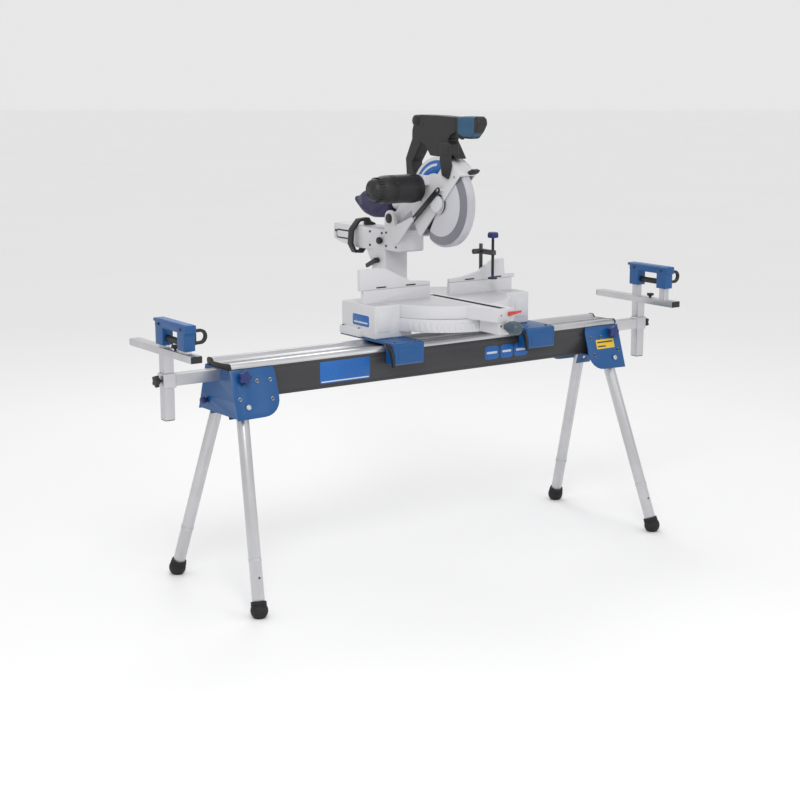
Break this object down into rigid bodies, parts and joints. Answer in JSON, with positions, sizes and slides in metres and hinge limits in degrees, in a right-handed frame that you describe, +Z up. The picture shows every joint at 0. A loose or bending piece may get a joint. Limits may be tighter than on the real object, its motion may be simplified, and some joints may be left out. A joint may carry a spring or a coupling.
{
  "type": "mitre saw on stand",
  "caption": "Sliding compound mitre saw clamped to a folding aluminium work stand with extending arms and work stops.",
  "frame": {"origin": "on the floor under the middle of the bounding box", "axes": "+X along the stand's beam to the operator's right, +Y away from the operator, +Z up"},
  "size_m": [2.2066, 1.108, 1.598],
  "materials": {
    "blue_powder_coat": "blue powder coat",
    "navy_plastic": "navy moulded plastic",
    "black_plastic": "black moulded plastic",
    "rubber": "black rubber",
    "dark_grey_beam": "dark grey painted extrusion",
    "aluminium": "natural anodised aluminium",
    "steel": "ground steel",
    "cast_white": "white painted casting",
    "guard_grey": "grey moulded plastic",
    "slate_plastic": "slate moulded plastic",
    "red_plastic": "red moulded plastic",
    "navy_cloth": "woven navy cloth"
  },
  "bodies": {
    "stand": {"beam_box": "dark_grey_beam", "beam_top_rail": "aluminium", "end_cap_left": "black_plastic", "end_cap_right": "black_plastic", "leg_bracket_left": "blue_powder_coat", "leg_bracket_right": "blue_powder_coat"},
    "saw_carriage": {"saw_mount_left": "blue_powder_coat", "saw_mount_right": "blue_powder_coat", "saw_base": "cast_white"},
    "mitre_table": {"turntable": "cast_white", "kerf_plate": "black_plastic"},
    "bevel_frame": {"bevel_arm": "cast_white", "carry_handle": "black_plastic"},
    "rail_slider": {"slide_yoke": "cast_white", "slide_rail_left": "steel", "slide_rail_right": "steel"},
    "saw_head": {"upper_guard": "cast_white", "motor": "black_plastic", "handle": "black_plastic", "dust_bag": "navy_cloth"},
    "blade_set": {"saw_blade": "steel", "arbor_spindle": "steel"},
    "lower_guard": {"lower_guard": "guard_grey"},
    "guard_link": {"guard_link": "black_plastic"},
    "trigger": {"trigger": "black_plastic"},
    "fence_left": {"fence_left": "cast_white"},
    "fence_right": {"fence_right": "cast_white"},
    "hold_down": {"clamp_post": "steel"},
    "clamp_screw": {"clamp_screw": "navy_plastic"},
    "mitre_knob": {"mitre_knob": "slate_plastic"},
    "detent_lever": {"detent_lever": "red_plastic"},
    "bevel_lever": {"bevel_lever": "black_plastic"},
    "arm_left": {"extension_arm_left": "aluminium"},
    "post_left": {"t_post_left": "aluminium"},
    "head_left": {"stop_head_left": "blue_powder_coat"},
    "arm_right": {"extension_arm_right": "aluminium"},
    "post_right": {"t_post_right": "aluminium"},
    "head_right": {"stop_head_right": "blue_powder_coat"},
    "leg_front_left": {"leg_front_left": "aluminium", "foot_front_left": "rubber"},
    "leg_rear_left": {"leg_rear_left": "aluminium", "foot_rear_left": "rubber"},
    "leg_front_right": {"leg_front_right": "aluminium", "foot_front_right": "rubber"},
    "leg_rear_right": {"leg_rear_right": "aluminium", "foot_rear_right": "rubber"},
    "leg_lock_left": {"leg_lock_left": "navy_plastic"},
    "roller_left": {"stop_roller_left": "black_plastic"},
    "bail_left": {"stop_bail_left": "black_plastic"},
    "mount_lever_left": {"mount_lever_left": "black_plastic"},
    "arm_knob_left": {"arm_knob_left": "navy_plastic"},
    "post_knob_left": {"post_knob_left": "black_plastic"},
    "head_knob_left": {"head_knob_left": "black_plastic"},
    "leg_lock_right": {"leg_lock_right": "navy_plastic"},
    "roller_right": {"stop_roller_right": "black_plastic"},
    "bail_right": {"stop_bail_right": "black_plastic"},
    "mount_lever_right": {"mount_lever_right": "black_plastic"},
    "arm_knob_right": {"arm_knob_right": "navy_plastic"},
    "post_knob_right": {"post_knob_right": "black_plastic"},
    "head_knob_right": {"head_knob_right": "black_plastic"}
  },
  "joints": [
    {"name": "head_chop", "type": "hinge", "parent": "rail_slider", "child": "saw_head", "pos_m": [0.1018, 0.159, 1.21], "axis": [1, 0, 0], "range_deg": [0, 40], "stiffness_Nm_per_rad": 35, "springref_deg": -57.3},
    {"name": "rail_slide", "type": "slide", "parent": "bevel_frame", "child": "rail_slider", "axis": [0, -1, 0], "range_m": [0, 0.3]},
    {"name": "bevel_tilt", "type": "hinge", "parent": "mitre_table", "child": "bevel_frame", "pos_m": [0.1018, 0.239, 0.94], "axis": [0, -1, 0], "range_deg": [0, 45]},
    {"name": "mitre_swing", "type": "hinge", "parent": "saw_carriage", "child": "mitre_table", "pos_m": [0.1018, -0.086, 0.94], "axis": [0, 0, 1], "range_deg": [-45, 45]},
    {"name": "saw_carriage_slide", "type": "slide", "parent": "stand", "child": "saw_carriage", "axis": [1, 0, 0], "range_m": [-0.3, 0.12]},
    {"name": "lower_guard_turn", "type": "hinge", "parent": "saw_head", "child": "lower_guard", "pos_m": [0.1018, -0.121, 1.283], "axis": [1, 0, 0], "range_deg": [-120, 0]},
    {"name": "guard_link_turn", "type": "hinge", "parent": "saw_head", "child": "guard_link", "pos_m": [0.1018, -0.143, 1.334], "axis": [1, 0, 0], "range_deg": [0, 30.93]},
    {"name": "blade_spin", "type": "hinge", "parent": "saw_head", "child": "blade_set", "pos_m": [0.1018, -0.121, 1.283], "axis": [1, 0, 0], "continuous": true},
    {"name": "trigger_press", "type": "slide", "parent": "saw_head", "child": "trigger", "axis": [0, 0, 1], "range_m": [0, 0.005], "stiffness_N_per_m": 800, "springref_m": -0.001},
    {"name": "fence_left_slide", "type": "slide", "parent": "saw_carriage", "child": "fence_left", "axis": [-1, 0, 0], "range_m": [0, 0.06]},
    {"name": "fence_right_slide", "type": "slide", "parent": "saw_carriage", "child": "fence_right", "axis": [1, 0, 0], "range_m": [0, 0.06]},
    {"name": "hold_down_turn", "type": "hinge", "parent": "saw_carriage", "child": "hold_down", "pos_m": [0.3158, -0.054, 1.09], "axis": [0, 0, 1], "range_deg": [-30, 30]},
    {"name": "clamp_screw_feed", "type": "slide", "parent": "hold_down", "child": "clamp_screw", "axis": [0, 0, 1], "range_m": [-0.044, 0.01]},
    {"name": "mitre_knob_turn", "type": "hinge", "parent": "mitre_table", "child": "mitre_knob", "pos_m": [0.1018, -0.476, 0.878], "axis": [0, -1, 0], "range_deg": [0, 180]},
    {"name": "detent_press", "type": "hinge", "parent": "mitre_table", "child": "detent_lever", "pos_m": [0.1198, -0.476, 0.921], "axis": [0, 1, 0], "range_deg": [0, 15], "stiffness_Nm_per_rad": 0.3, "springref_deg": -17.19},
    {"name": "bevel_lever_turn", "type": "hinge", "parent": "bevel_frame", "child": "bevel_lever", "pos_m": [0.0518, 0.239, 1.045], "axis": [1, 0, 0], "range_deg": [0, 40]},
    {"name": "arm_left_slide", "type": "slide", "parent": "stand", "child": "arm_left", "axis": [-1, 0, 0], "range_m": [-0.12, 0.45]},
    {"name": "post_left_lift", "type": "slide", "parent": "arm_left", "child": "post_left", "axis": [0, 0, 1], "range_m": [-0.035, 0.09]},
    {"name": "head_left_lift", "type": "slide", "parent": "post_left", "child": "head_left", "axis": [0, 0, 1], "range_m": [0, 0.036]},
    {"name": "arm_right_slide", "type": "slide", "parent": "stand", "child": "arm_right", "axis": [1, 0, 0], "range_m": [-0.12, 0.45]},
    {"name": "post_right_lift", "type": "slide", "parent": "arm_right", "child": "post_right", "axis": [0, 0, 1], "range_m": [-0.035, 0.09]},
    {"name": "head_right_lift", "type": "slide", "parent": "post_right", "child": "head_right", "axis": [0, 0, 1], "range_m": [-0.036, 0]},
    {"name": "leg_front_left_fold", "type": "hinge", "parent": "stand", "child": "leg_front_left", "pos_m": [-0.8252, -0.2357, 0.652], "axis": [0, -0.9491, 0.3149], "range_deg": [0, 95]},
    {"name": "leg_rear_left_fold", "type": "hinge", "parent": "stand", "child": "leg_rear_left", "pos_m": [-0.8252, -0.0763, 0.652], "axis": [0, -0.9491, -0.3149], "range_deg": [0, 95]},
    {"name": "leg_front_right_fold", "type": "hinge", "parent": "stand", "child": "leg_front_right", "pos_m": [0.7988, -0.2357, 0.652], "axis": [0, 0.9491, -0.3149], "range_deg": [0, 95]},
    {"name": "leg_rear_right_fold", "type": "hinge", "parent": "stand", "child": "leg_rear_right", "pos_m": [0.7988, -0.0763, 0.652], "axis": [0, 0.9491, 0.3149], "range_deg": [0, 95]},
    {"name": "leg_lock_left_pull", "type": "slide", "parent": "stand", "child": "leg_lock_left", "axis": [-1, 0, 0], "range_m": [0, 0.008], "stiffness_N_per_m": 1500, "springref_m": -0.002},
    {"name": "roller_left_spin", "type": "hinge", "parent": "head_left", "child": "roller_left", "pos_m": [-1.0582, -0.222, 0.907], "axis": [0, 1, 0], "continuous": true},
    {"name": "bail_left_swing", "type": "hinge", "parent": "head_left", "child": "bail_left", "pos_m": [-1.0317, -0.303, 0.9265], "axis": [0, 0, -1], "range_deg": [0, 90]},
    {"name": "mount_lever_left_lift", "type": "hinge", "parent": "saw_carriage", "child": "mount_lever_left", "pos_m": [-0.2525, -0.25, 0.8125], "axis": [-1, 0, 0], "range_deg": [0, 50]},
    {"name": "arm_knob_left_turn", "type": "hinge", "parent": "stand", "child": "arm_knob_left", "pos_m": [-0.8282, -0.256, 0.766], "axis": [0, -1, 0], "range_deg": [0, 180]},
    {"name": "post_knob_left_turn", "type": "hinge", "parent": "arm_left", "child": "post_knob_left", "pos_m": [-1.0882, -0.156, 0.766], "axis": [-1, 0, 0], "range_deg": [0, 180]},
    {"name": "head_knob_left_turn", "type": "hinge", "parent": "post_left", "child": "head_knob_left", "pos_m": [-1.0582, -0.222, 0.88], "axis": [0, 0, 1], "range_deg": [0, 180]},
    {"name": "leg_lock_right_pull", "type": "slide", "parent": "stand", "child": "leg_lock_right", "axis": [1, 0, 0], "range_m": [0, 0.008], "stiffness_N_per_m": 1500, "springref_m": -0.002},
    {"name": "roller_right_spin", "type": "hinge", "parent": "head_right", "child": "roller_right", "pos_m": [1.0318, -0.222, 0.943], "axis": [0, 1, 0], "continuous": true},
    {"name": "bail_right_swing", "type": "hinge", "parent": "head_right", "child": "bail_right", "pos_m": [1.0583, -0.303, 0.9625], "axis": [0, 0, -1], "range_deg": [0, 90]},
    {"name": "mount_lever_right_lift", "type": "hinge", "parent": "saw_carriage", "child": "mount_lever_right", "pos_m": [0.3475, -0.25, 0.8125], "axis": [-1, 0, 0], "range_deg": [0, 50]},
    {"name": "arm_knob_right_turn", "type": "hinge", "parent": "stand", "child": "arm_knob_right", "pos_m": [0.8018, -0.256, 0.766], "axis": [0, -1, 0], "range_deg": [0, 180]},
    {"name": "post_knob_right_turn", "type": "hinge", "parent": "arm_right", "child": "post_knob_right", "pos_m": [1.0618, -0.156, 0.766], "axis": [1, 0, 0], "range_deg": [0, 180]},
    {"name": "head_knob_right_turn", "type": "hinge", "parent": "post_right", "child": "head_knob_right", "pos_m": [1.0318, -0.222, 0.88], "axis": [0, 0, 1], "range_deg": [0, 180]}
  ],
  "couplings": [
    {"joint": "lower_guard_turn", "follows": "head_chop", "ratio": -3},
    {"joint": "guard_link_turn", "follows": "head_chop", "ratio": 0.7729}
  ]
}
